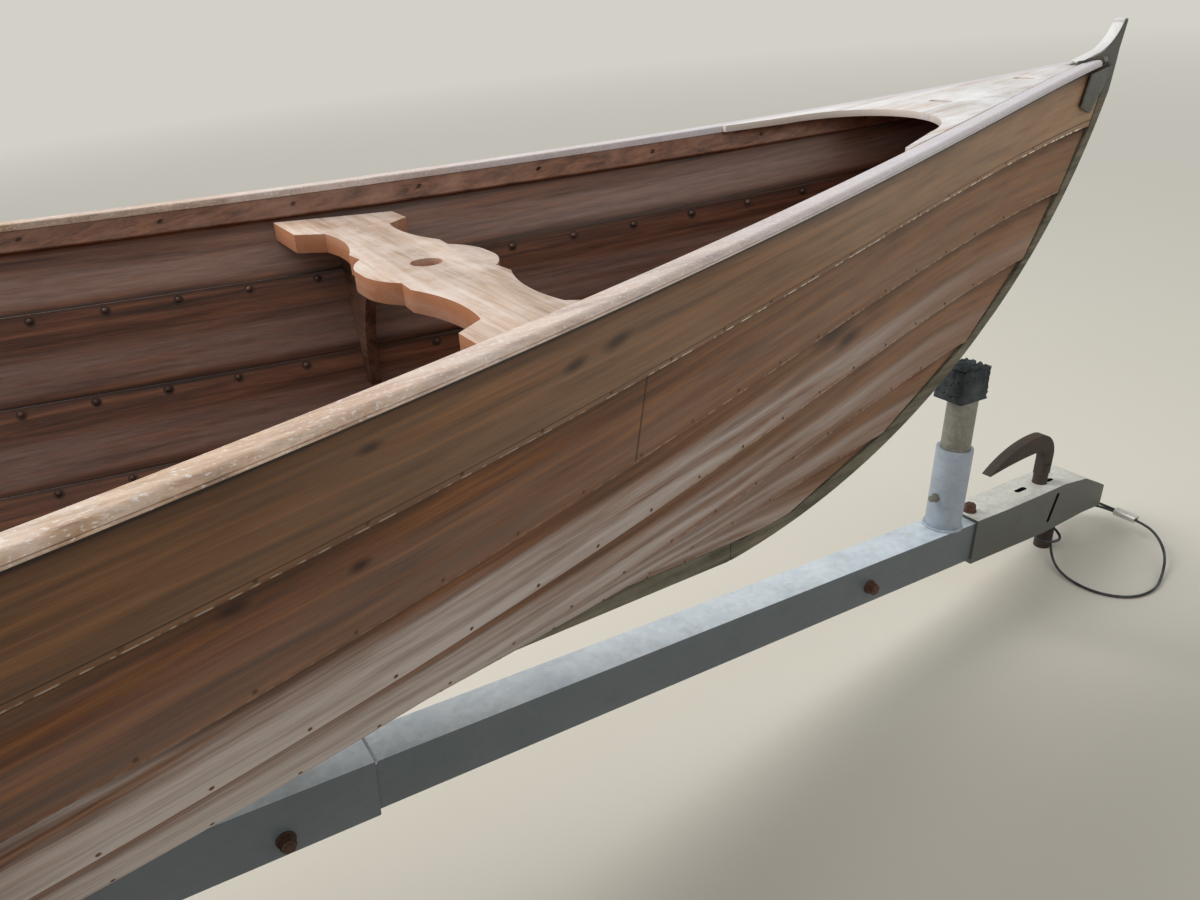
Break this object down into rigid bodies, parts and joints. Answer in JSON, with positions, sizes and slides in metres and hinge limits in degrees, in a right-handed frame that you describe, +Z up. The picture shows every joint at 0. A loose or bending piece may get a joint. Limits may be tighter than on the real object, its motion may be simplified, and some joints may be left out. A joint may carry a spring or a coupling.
{
  "type": "rowing boat on a road trailer",
  "caption": "Varnished clinker rowing boat with scalloped thwarts and small end decks, resting on a galvanised road trailer with turning wheels and a ball coupling.",
  "frame": {"origin": "centre of the bounding box without the safety cable, on the floor the trailer's wheels and coupling foot stand on", "axes": "+X towards the bow and the coupling, +Y to port, +Z up"},
  "size_m": [4.7092, 1.69, 1.4271],
  "materials": {
    "sheer_plank_wood": "varnished, weathered",
    "plank_wood": "varnished, worn and hazed",
    "keel_wood": "worn varnish over grey wood",
    "gunwale_wood": "bare weathered",
    "deck_wood": "varnished, worn",
    "thwart_wood": "bare with worn varnish",
    "inside_wood": "old dark varnish",
    "dark_steel": "matt",
    "galvanised_steel": "dull zinc",
    "rusted_iron": "rusty",
    "black_rubber": "matt",
    "cable_wire": "dull",
    "ferrule_metal": "satin",
    "tyre_rubber": "matt",
    "painted_steel": "satin",
    "hub_iron": "dull"
  },
  "bodies": {
    "boat_on_trailer": {"strake_1": "sheer_plank_wood", "strake_2": "plank_wood", "strake_3": "plank_wood", "strake_4": "plank_wood", "strake_5": "plank_wood", "strake_6": "plank_wood", "keel": "keel_wood", "stem": "keel_wood", "sternpost": "keel_wood", "inwale": "gunwale_wood", "gunwale_cap": "gunwale_wood", "fore_deck": "deck_wood", "aft_deck": "deck_wood", "fore_thwart": "thwart_wood", "rowing_thwart": "thwart_wood", "aft_thwart": "thwart_wood", "thwart_knees": "inside_wood", "floor_timbers": "inside_wood", "floorboards": "inside_wood", "mast_step": "inside_wood", "rowlock_blocks": "gunwale_wood", "foot_stretcher": "inside_wood", "stem_plates": "dark_steel", "drawbar_front": "galvanised_steel", "drawbar_rear": "galvanised_steel", "coupling_housing": "galvanised_steel", "coupling_lever": "rusted_iron", "coupling_foot": "rusted_iron", "post_sleeve": "galvanised_steel", "post_inner": "galvanised_steel", "bow_snubber": "black_rubber", "keel_chocks": "black_rubber", "axle_beam": "galvanised_steel", "axle_arms": "galvanised_steel", "axle_saddle": "galvanised_steel", "saddle_bolts": "galvanised_steel", "side_supports": "galvanised_steel", "support_pads": "black_rubber", "mudguards": "galvanised_steel", "mudguard_stays": "galvanised_steel", "safety_cable": "cable_wire", "cable_ferrule": "ferrule_metal"},
    "wheel_left": {"tyre_left": "tyre_rubber", "rim_left": "painted_steel", "hub_left": "hub_iron"},
    "wheel_right": {"tyre_right": "tyre_rubber", "rim_right": "painted_steel", "hub_right": "hub_iron"}
  },
  "joints": [
    {"name": "wheel_left_turn", "type": "hinge", "parent": "boat_on_trailer", "child": "wheel_left", "pos_m": [-0.51577, 0.75, 0.281], "axis": [0, 1, 0], "continuous": true},
    {"name": "wheel_right_turn", "type": "hinge", "parent": "boat_on_trailer", "child": "wheel_right", "pos_m": [-0.51577, -0.75, 0.281], "axis": [0, 1, 0], "continuous": true}
  ]
}
